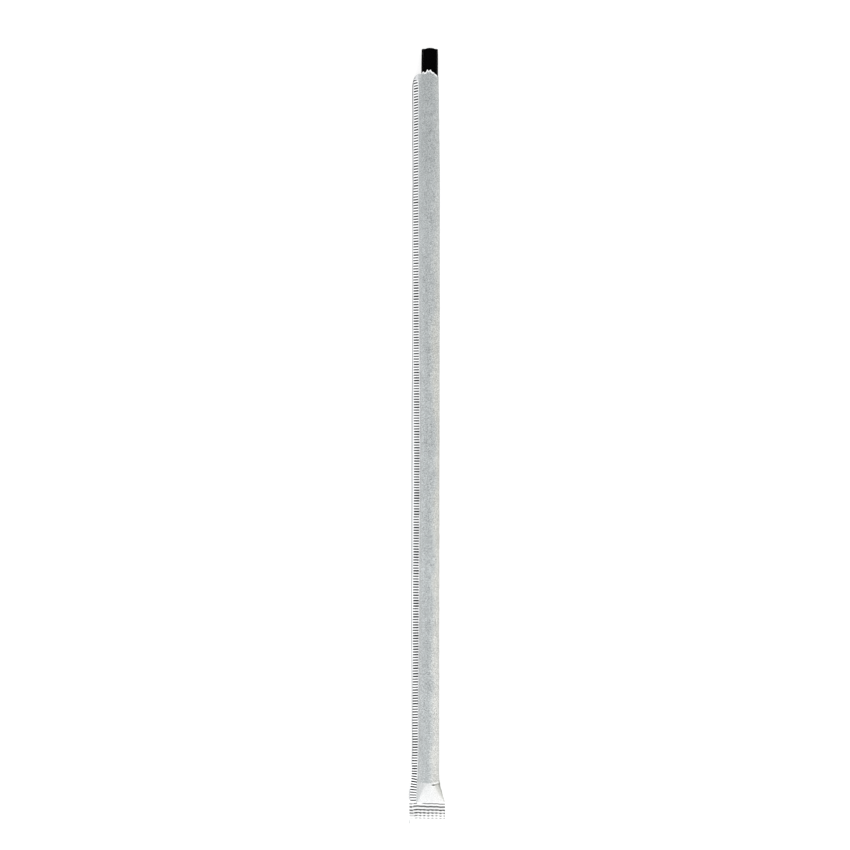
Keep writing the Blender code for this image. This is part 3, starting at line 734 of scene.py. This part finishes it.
    # painted light: the tint is warmer on the lit right side
    tint = 1 + grey * (cool - 1 + (warm_tint - cool) * (lit_side_warmth * (0.35 + 0.65 * soft(0.1, 0.5, v)))[:, None])
    tint = np.where(fin[:, None], 1 + (0.4 + 0.6 * grey) * np.array((-0.026, 0.0, 0.028)), tint)  # nothing dark lies under the fin
    level = np.clip(value, 0, 255) / 255
    linear = np.where(level <= 0.04045, level / 12.92, ((level + 0.055) / 1.055) ** 2.4)
    linear = linear * np.minimum(1 + 0.18 * np.maximum(fin, white) + 0.12 * at_band * fin + 0.12 * light + 0.10 * seal, 1.28)  # loose fibres and crimped paper, in one layer, are whiter, and the pucker's painted highlight is brightened too
    colour = linear[:, None] * tint
    rib = np.where(fin, phase, 0.0)
    across = np.where(fin, band, -1.0)
    show = np.where(fin | seal, 0.0, 0.91 + 0.22 * v) * (1 - 0.32 * soft(0.90, 0.95, v)) * (1 - white) * np.where(inner, 0.3, 1.0) * (1 - 0.75 * past)
    place[:, 2] = np.maximum(place[:, 2] + STRAW_Z, 0.0)
    place[:, 0] += STRAW_X
    # how strong the fin's painted groove shade is
    whole = near_tear * (1 + 0.13 * soft(-114.0, -122.0, y) - 0.26 * soft(-125.2, -126.3, y))
    # the wheel pressed wider grooves in the middle of the strip
    broad = np.interp(y, (-120, -95, -75, -50, -15, 5, 35, 60, 128), (0.012, 0.014, 0.032, 0.038, 0.036, 0.026, 0.018, 0.012, 0.012))
    return place, colour, rib, across, seal_groove_shade, show, whole, broad


def pack_map(chart):
    """Map places from chart, p, q: the long charts in three lengths side by
    side, the small ones above them. Returns u, v of 0 to 1."""
    side = 118.0
    which, p, q = chart[..., 0], chart[..., 1], chart[..., 2]
    middle = q.mean(axis=1, keepdims=True)
    part = np.clip(np.floor((middle + 130.0) / 87.0), 0, 2)
    base = part * 39.0
    u, v = np.zeros_like(p), np.zeros_like(q)
    at = which == 0
    u, v = np.where(at, base + 3.2 + p, u), np.where(at, q + 130.4 - part * 87.0, v)
    at = which == 1
    u, v = np.where(at, base + 37.2 + p, u), np.where(at, q + 130.4 - part * 87.0, v)
    at = which == 2
    u, v = np.where(at, base + 26.6 + p * 0.98, u), np.where(at, q + 130.4 - part * 87.0, v)
    at = which == 3
    u, v = np.where(at, 110 + p, u), np.where(at, 112 + q, v)
    at = which == 4
    u, v = np.where(at, 60 + p * 1.5, u), np.where(at, 94 + q, v)
    at = which == 5
    u, v = np.where(at, 0.5 + p * 1.8, u), np.where(at, 97.5 + q * 1.8, v)
    return np.stack([u, v], -1) / side


sheet = build_sleeve()
rows = np.concatenate(sheet.rows)
place, colour, rib, across, seal_groove_shade, show, whole, broad = shape_and_tone(rows)
quads, tris = np.concatenate(sheet.quads), np.concatenate(sheet.tris)
quad_uv, tri_uv = pack_map(np.concatenate(sheet.quad_map)), pack_map(np.concatenate(sheet.tri_map))

mesh = bpy.data.meshes.new("paper_sleeve_detail")
loops = np.concatenate([quads.ravel(), tris.ravel()]).astype(np.int32)
starts = np.concatenate([np.arange(len(quads)) * 4, len(quads) * 4 + np.arange(len(tris)) * 3]).astype(np.int32)
mesh.vertices.add(len(place))
mesh.vertices.foreach_set("co", place.astype(np.float32).ravel())
mesh.loops.add(len(loops))
mesh.loops.foreach_set("vertex_index", loops)
mesh.polygons.add(len(starts))
mesh.polygons.foreach_set("loop_start", starts)
layer = mesh.uv_layers.new(name="OFBake")
layer.uv.foreach_set("vector", np.concatenate([quad_uv.reshape(-1, 2), tri_uv.reshape(-1, 2)]).astype(np.float32).ravel())
mesh.update(calc_edges=True)
mesh.validate()
tone = mesh.attributes.new("tone", "FLOAT_COLOR", "POINT")
tone.data.foreach_set("color", np.concatenate([colour, np.ones((len(colour), 1))], axis=1).astype(np.float32).ravel())
for name, values in (("rib", rib), ("across", across), ("seal_groove_shade", seal_groove_shade), ("show", show), ("whole", whole), ("broad", broad)):
    mesh.attributes.new(name, "FLOAT", "POINT").data.foreach_set("value", values.astype(np.float32))
bm = bmesh.new()
bm.from_mesh(mesh)
bmesh.ops.recalc_face_normals(bm, faces=bm.faces)
open_edges = sum(1 for e in bm.edges if len(e.link_faces) != 2)
bm.to_mesh(mesh)
bm.free()
print("sleeve: points", len(place), "triangles", 2 * len(quads) + len(tris), "edges not shared by two faces", open_edges)
mesh.shade_smooth()
mesh.set_sharp_from_angle(angle=math.radians(60))
sleeve = bpy.data.objects.new("paper_sleeve_detail", mesh)
bpy.context.scene.collection.objects.link(sleeve)
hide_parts("paper_sleeve")
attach(sleeve, "sleeve")

# ---------------------------------------------------------------------------
# The straw: the tube of the CAD model with softened rims, and a small burr on
# the upper side of the tip where the knife left it
# ---------------------------------------------------------------------------
def build_straw():
    radius, wall, tip, end, sides = 2.96, 0.115, 137.4, STRAW_END_Y * 1000, 96
    along = np.concatenate([[0.035], np.linspace(0.5, tip - end - 16.0, 38), tip - end - np.array([12.0, 9.0, 7.0, 5.0, 3.5, 2.4, 1.6, 1.0, 0.5, 0.2, 0.035])])
    outer = [(radius - 0.03, 0.0)] + [(radius, v) for v in along] + [(radius - 0.03, tip - end)]
    inner = [(radius - wall + 0.02, tip - end)] + [(radius - wall, v) for v in along[::-1]] + [(radius - wall + 0.02, 0.0)]
    profile = np.array(outer + inner)
    turn = np.linspace(0, 2 * math.pi, sides, endpoint=False)  # 0 at the top
    r, v = profile[:, 0][:, None], profile[:, 1][:, None]
    # how far the cut edge lies below the highest point, from the crown to the side
    side = np.abs(np.sin(turn))
    top_sag = np.interp(np.abs(np.sin(turn - 0.05)), (0, 0.18, 0.3, 0.42, 0.52, 0.58, 0.66, 0.78, 0.9, 0.955, 1.0), (-0.055, -0.05, -0.015, 0.05, 0.165, 0.22, 0.22, 0.165, 0.105, 0.15, 0.27))
    low_sag = np.interp(side, (0, 0.7, 0.9, 1.0), (0.10, 0.10, 0.14, 0.25))
    sag = np.where(np.cos(turn) >= 0, top_sag, low_sag) + 0.07 * soft(0.9, 1.0, side) * (np.sin(turn) > 0)
    deep = tip - end - v  # how far from the tip
    v = v - sag[None] * soft(1.0, 0.02, deep)
    r = r - 0.0625 * soft(4.5, 0.0, deep)  # drawn in a little by the knife
    bend = -(0.028 + 0.037 * soft(0.0, 7.0, deep)) * soft(40.0, 12.0, deep)
    place = np.stack([STRAW_X * 1000 + bend + r * np.sin(turn), end + v + 0 * turn, STRAW_Z * 1000 + r * np.cos(turn)], -1) / 1000
    count = len(profile)
    number = np.arange(count * sides).reshape(count, sides)
    a, b = number, np.roll(number, -1, axis=1)
    c, d = np.roll(b, -1, axis=0), np.roll(a, -1, axis=0)
    made = bpy.data.meshes.new("straw_detail")
    made.from_pydata(place.reshape(-1, 3).tolist(), [], np.stack([a, b, c, d], -1).reshape(-1, 4).tolist())
    made.validate()
    bm = bmesh.new()
    bm.from_mesh(made)
    bmesh.ops.recalc_face_normals(bm, faces=bm.faces)
    bm.to_mesh(made)
    bm.free()
    made.shade_smooth()
    made.set_sharp_from_angle(angle=math.radians(50))
    obj = bpy.data.objects.new("straw_detail", made)
    scene.collection.objects.link(obj)
    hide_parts("straw")
    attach(obj, "straw")
    return obj


scene = bpy.context.scene
straw = build_straw()

# ---------------------------------------------------------------------------
# Materials
# ---------------------------------------------------------------------------
PAPER_GAIN = 0.75  # reflectance of the paper where the camera shows it white


def node(tree, kind, place, **values):
    made = tree.nodes.new(kind)
    made.location = place
    for name, value in values.items():
        if name in made.inputs:
            made.inputs[name].default_value = value
        else:
            setattr(made, name, value)
    return made


def math_node(tree, operation, place, a, b=None, clamp=False):
    made = tree.nodes.new("ShaderNodeMath")
    made.operation, made.location, made.use_clamp = operation, place, clamp
    for socket, value in zip(made.inputs, (a, b)):
        if value is None:
            continue
        if isinstance(value, (int, float)):
            socket.default_value = value
        else:
            tree.links.new(value, socket)
    return made.outputs[0]


def attribute(tree, name, place, output="Fac"):
    made = tree.nodes.new("ShaderNodeAttribute")
    made.attribute_name, made.location = name, place
    return made.outputs[output]


def ranged(tree, value, low, high, to_low, to_high, place, smooth_step=True):
    made = tree.nodes.new("ShaderNodeMapRange")
    made.location = place
    made.interpolation_type = "SMOOTHSTEP" if smooth_step else "LINEAR"
    for socket, v in zip(list(made.inputs)[1:5], (low, high, to_low, to_high)):
        socket.default_value = v
    tree.links.new(value, made.inputs[0])
    return made.outputs[0]


def paper_material():
    made = bpy.data.materials.new("sleeve_paper")
    made.use_nodes = True
    tree = made.node_tree
    tree.nodes.clear()
    link = tree.links.new
    out = node(tree, "ShaderNodeOutputMaterial", (1400, 0))
    shader = node(tree, "ShaderNodeBsdfPrincipled", (1100, 0))
    link(shader.outputs[0], out.inputs[0])
    shader.inputs["Specular IOR Level"].default_value = 0.18
    shader.inputs["Metallic"].default_value = 0.0

    where = node(tree, "ShaderNodeTexCoord", (-1500, -300)).outputs["Object"]
    # formation of the thin paper: soft clouds, fine grain and a few fibres
    clouds = node(tree, "ShaderNodeTexNoise", (-1200, -200), Scale=620.0, Detail=3.0, Roughness=0.62)
    grain = node(tree, "ShaderNodeTexNoise", (-1200, -450), Scale=3200.0, Detail=1.0, Roughness=0.6)
    slow = node(tree, "ShaderNodeTexNoise", (-1200, -650), Scale=70.0, Detail=2.0, Roughness=0.5)
    stretch = node(tree, "ShaderNodeMapping", (-1400, -800))
    stretch.inputs["Rotation"].default_value = (0.2, 0.5, 0.7)
    stretch.inputs["Scale"].default_value = (1.0, 0.22, 1.0)
    fibres = node(tree, "ShaderNodeTexNoise", (-1200, -850), Scale=1500.0, Detail=2.0, Roughness=0.7)
    for n in (clouds, grain, slow):
        link(where, n.inputs["Vector"])
    link(where, stretch.inputs["Vector"])
    link(stretch.outputs[0], fibres.inputs["Vector"])
    cloud = math_node(tree, "SUBTRACT", (-950, -200), clouds.outputs[0], 0.5)
    fine = math_node(tree, "SUBTRACT", (-950, -450), grain.outputs[0], 0.5)
    broad = math_node(tree, "SUBTRACT", (-950, -650), slow.outputs[0], 0.5)
    hair = math_node(tree, "SUBTRACT", (-950, -850), fibres.outputs[0], 0.5)
    mottle = math_node(tree, "ADD", (-700, -300), math_node(tree, "MULTIPLY", (-820, -200), cloud, 0.30), math_node(tree, "MULTIPLY", (-820, -450), fine, 2.3))
    mottle = math_node(tree, "ADD", (-550, -400), mottle, math_node(tree, "MULTIPLY", (-820, -650), broad, 0.22))
    mottle = math_node(tree, "ADD", (-400, -450), mottle, math_node(tree, "MULTIPLY", (-820, -850), hair, 0.16))
    seen = math_node(tree, "MULTIPLY_ADD", (-400, -620), attribute(tree, "show", (-650, -700)), 0.82)
    tree.nodes[-1].inputs[2].default_value = 0.12
    mottle = math_node(tree, "MULTIPLY", (-250, -450), mottle, seen)
    factor = math_node(tree, "ADD", (-100, -450), mottle, 1.0)

    # grooves of the knurled fin: painted shade, dark where the rib number is whole
    rib = attribute(tree, "rib", (-1500, 500))
    nearest = math_node(tree, "ROUND", (-1300, 600), rib)
    off = math_node(tree, "ABSOLUTE", (-950, 500), math_node(tree, "SUBTRACT", (-1100, 500), rib, nearest))
    random = tree.nodes.new("ShaderNodeTexWhiteNoise")
    random.noise_dimensions = "1D"
    random.location = (-1100, 700)
    link(nearest, random.inputs["W"])
    vary = math_node(tree, "SUBTRACT", (-900, 700), random.outputs[0], 0.5)
    wobble = math_node(tree, "MULTIPLY_ADD", (-750, 700), vary, 0.05)
    tree.links.new(attribute(tree, "broad", (-950, 850)), wobble.node.inputs[2])
    groove = ranged(tree, math_node(tree, "SUBTRACT", (-750, 500), off, wobble), 0.345, 0.18, 0.0, 1.0, (-550, 500))
    band = attribute(tree, "across", (-1500, 250))
    fray = math_node(tree, "MULTIPLY_ADD", (-1000, 250), vary, 0.05)
    link(band, tree.nodes[-1].inputs[2])
    inner_end = ranged(tree, fray, 0.00, 0.07, 0.0, 1.0, (-800, 300))
    outer_end = ranged(tree, fray, 1.0, 0.93, 0.0, 1.0, (-800, 150))
    groove = math_node(tree, "MULTIPLY", (-400, 450), groove, math_node(tree, "MULTIPLY", (-600, 250), inner_end, outer_end))
    groove = math_node(tree, "MULTIPLY", (-250, 450), groove, attribute(tree, "whole", (-450, 650)))
    depth = math_node(tree, "MULTIPLY_ADD", (-250, 620), vary, 0.10)
    tree.nodes[-1].inputs[2].default_value = 0.93
    groove = math_node(tree, "MULTIPLY", (-100, 450), groove, depth)
    # the end seal's grooves get the same painted shade
    groove = math_node(tree, "MAXIMUM", (50, 400), groove, math_node(tree, "MULTIPLY", (-100, 250), attribute(tree, "seal_groove_shade", (-300, 150)), 0.97))

    tone = node(tree, "ShaderNodeAttribute", (-400, 0))
    tone.attribute_name = "tone"
    scaled = node(tree, "ShaderNodeVectorMath", (-150, 0), operation="SCALE")
    link(tone.outputs["Color"], scaled.inputs[0])
    link(math_node(tree, "MULTIPLY", (50, -300), factor, PAPER_GAIN), scaled.inputs["Scale"])
    mix = node(tree, "ShaderNodeMix", (500, 150))
    mix.data_type = "RGBA"
    link(groove, mix.inputs[0])
    link(scaled.outputs[0], mix.inputs[6])
    # the grooves' painted shade: nearly black
    mix.inputs[7].default_value = (0.008, 0.0085, 0.009, 1.0)
    link(mix.outputs[2], shader.inputs["Base Color"])
    rough = math_node(tree, "MULTIPLY_ADD", (600, -300), fine, 0.18)
    tree.nodes[-1].inputs[2].default_value = 0.86
    link(rough, shader.inputs["Roughness"])
    height = math_node(tree, "ADD", (500, -500), math_node(tree, "MULTIPLY", (350, -500), hair, 0.5), math_node(tree, "ADD", (200, -600), fine, cloud))
    bump = node(tree, "ShaderNodeBump", (800, -500))
    bump.inputs["Strength"].default_value = 0.35
    bump.inputs["Distance"].default_value = 0.00006
    link(height, bump.inputs["Height"])
    link(bump.outputs[0], shader.inputs["Normal"])
    return made


def straw_material():
    made = bpy.data.materials.new("straw_plastic")
    made.use_nodes = True
    tree = made.node_tree
    tree.nodes.clear()
    link = tree.links.new
    out = node(tree, "ShaderNodeOutputMaterial", (900, 0))
    shader = node(tree, "ShaderNodeBsdfPrincipled", (600, 0))
    link(shader.outputs[0], out.inputs[0])
    shader.inputs["Metallic"].default_value = 0.0
    shader.inputs["IOR"].default_value = 1.49
    where = node(tree, "ShaderNodeTexCoord", (-900, 0)).outputs["Object"]
    # faint lines that the extruder leaves along the tube
    long_way = node(tree, "ShaderNodeMapping", (-700, 0))
    long_way.inputs["Scale"].default_value = (1.0, 0.012, 1.0)
    link(where, long_way.inputs["Vector"])
    drawn = node(tree, "ShaderNodeTexNoise", (-450, 0), Scale=2600.0, Detail=3.0, Roughness=0.55)
    link(long_way.outputs[0], drawn.inputs["Vector"])
    haze = node(tree, "ShaderNodeTexNoise", (-450, -300), Scale=260.0, Detail=4.0, Roughness=0.6)
    link(where, haze.inputs["Vector"])
    colour = node(tree, "ShaderNodeMix", (200, 150))
    colour.data_type = "RGBA"
    link(haze.outputs[0], colour.inputs[0])
    colour.inputs[6].default_value = (0.0006, 0.0006, 0.0007, 1.0)
    colour.inputs[7].default_value = (0.0016, 0.0016, 0.0018, 1.0)
    link(colour.outputs[2], shader.inputs["Base Color"])
    both = math_node(tree, "ADD", (-100, -150), math_node(tree, "MULTIPLY", (-250, 0), drawn.outputs[0], 0.07), math_node(tree, "MULTIPLY", (-250, -300), haze.outputs[0], 0.10))
    link(math_node(tree, "ADD", (100, -150), both, 0.09), shader.inputs["Roughness"])
    bump = node(tree, "ShaderNodeBump", (200, -400))
    bump.inputs["Strength"].default_value = 0.12
    bump.inputs["Distance"].default_value = 0.00002
    link(drawn.outputs[0], bump.inputs["Height"])
    link(bump.outputs[0], shader.inputs["Normal"])
    return made


def wear(obj, material):
    obj.data.materials.clear()
    obj.data.materials.append(material)


wear(sleeve, paper_material())
wear(straw, straw_material())

# ---------------------------------------------------------------------------
# Floor, light and camera
# ---------------------------------------------------------------------------
scene.view_settings.view_transform = "Standard"
scene.view_settings.look = "None"
scene.view_settings.exposure = 0.0
scene.view_settings.gamma = 1.0

bm = bmesh.new()
bmesh.ops.create_grid(bm, x_segments=1, y_segments=1, size=6.0)
floor_mesh = bpy.data.meshes.new("floor")
bm.to_mesh(floor_mesh)
bm.free()
floor = bpy.data.objects.new("floor", floor_mesh)
floor.location = (0, 0, -0.00002)
scene.collection.objects.link(floor)
floor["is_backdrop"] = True
floor_paint = bpy.data.materials.new("floor_white")
floor_paint.use_nodes = True
surface = floor_paint.node_tree.nodes["Principled BSDF"]
surface.inputs["Base Color"].default_value = (0.30, 0.30, 0.30, 1.0)
surface.inputs["Roughness"].default_value = 0.95
surface.inputs["Specular IOR Level"].default_value = 0.0
surface.inputs["Emission Color"].default_value = (1.0, 1.0, 1.0, 1.0)
surface.inputs["Emission Strength"].default_value = 0.74
floor_mesh.materials.append(floor_paint)
floor.visible_glossy = False

world = bpy.data.worlds.new("studio")
scene.world = world
world.use_nodes = True
world.node_tree.nodes["Background"].inputs[0].default_value = (1.0, 1.0, 1.0, 1.0)
world.node_tree.nodes["Background"].inputs[1].default_value = 1.04
world.cycles_visibility.glossy = False


def area(name, place, target, wide, high, power, colour=(1, 1, 1)):
    light = bpy.data.lights.new(name, "AREA")
    light.shape = "RECTANGLE"
    light.size, light.size_y, light.energy, light.color = wide, high, power, colour
    made = bpy.data.objects.new(name, light)
    made.location = place
    made.rotation_euler = (Vector(target) - Vector(place)).to_track_quat("-Z", "Y").to_euler()
    scene.collection.objects.link(made)
    made.visible_camera = False
    return made


area("key", (0.35, -1.25, 0.95), (0, 0, 0), 0.9, 0.7, 11.7)
area("fill", (-0.5, 1.2, 1.1), (0, 0, 0), 1.0, 0.8, 3.9)
# Two dim strips make the thin lines of light along the straw's sides. They
# lie below the table's level, and only the straw's gloss sees them.
def strip(name, x, glow):
    made = bpy.data.meshes.new(name)
    low, high, half = -0.36, 0.36, 0.018
    made.from_pydata([(x, low, -0.185 - half), (x, high, -0.185 - half), (x, high, -0.185 + half), (x, low, -0.185 + half)], [], [(0, 1, 2, 3)])
    shine = bpy.data.materials.new(name)
    shine.use_nodes = True
    tree = shine.node_tree
    tree.nodes.clear()
    out, emit = tree.nodes.new("ShaderNodeOutputMaterial"), tree.nodes.new("ShaderNodeEmission")
    emit.inputs["Strength"].default_value = glow
    tree.links.new(emit.outputs[0], out.inputs[0])
    shine.cycles.emission_sampling = "NONE"
    made.materials.append(shine)
    obj = bpy.data.objects.new(name, made)
    scene.collection.objects.link(obj)
    for flag in ("visible_camera", "visible_diffuse", "visible_transmission", "visible_volume_scatter", "visible_shadow"):
        setattr(obj, flag, False)
    obj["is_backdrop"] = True


strip("strip_l", -0.46, 0.75)
strip("strip_r", 0.46, 0.55)

camera_data = bpy.data.cameras.new("camera")
camera_data.sensor_width = 36.0
camera_data.lens = 125.34
camera_data.clip_start, camera_data.clip_end = 0.05, 20.0
camera = bpy.data.objects.new("camera", camera_data)
camera.location = (-0.000756, 0.0040, 1.05315)
camera.rotation_euler = (0, 0, 0)
scene.collection.objects.link(camera)
scene.camera = camera

{"cad": cad_box, "visual": [list(corner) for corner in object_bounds()]}
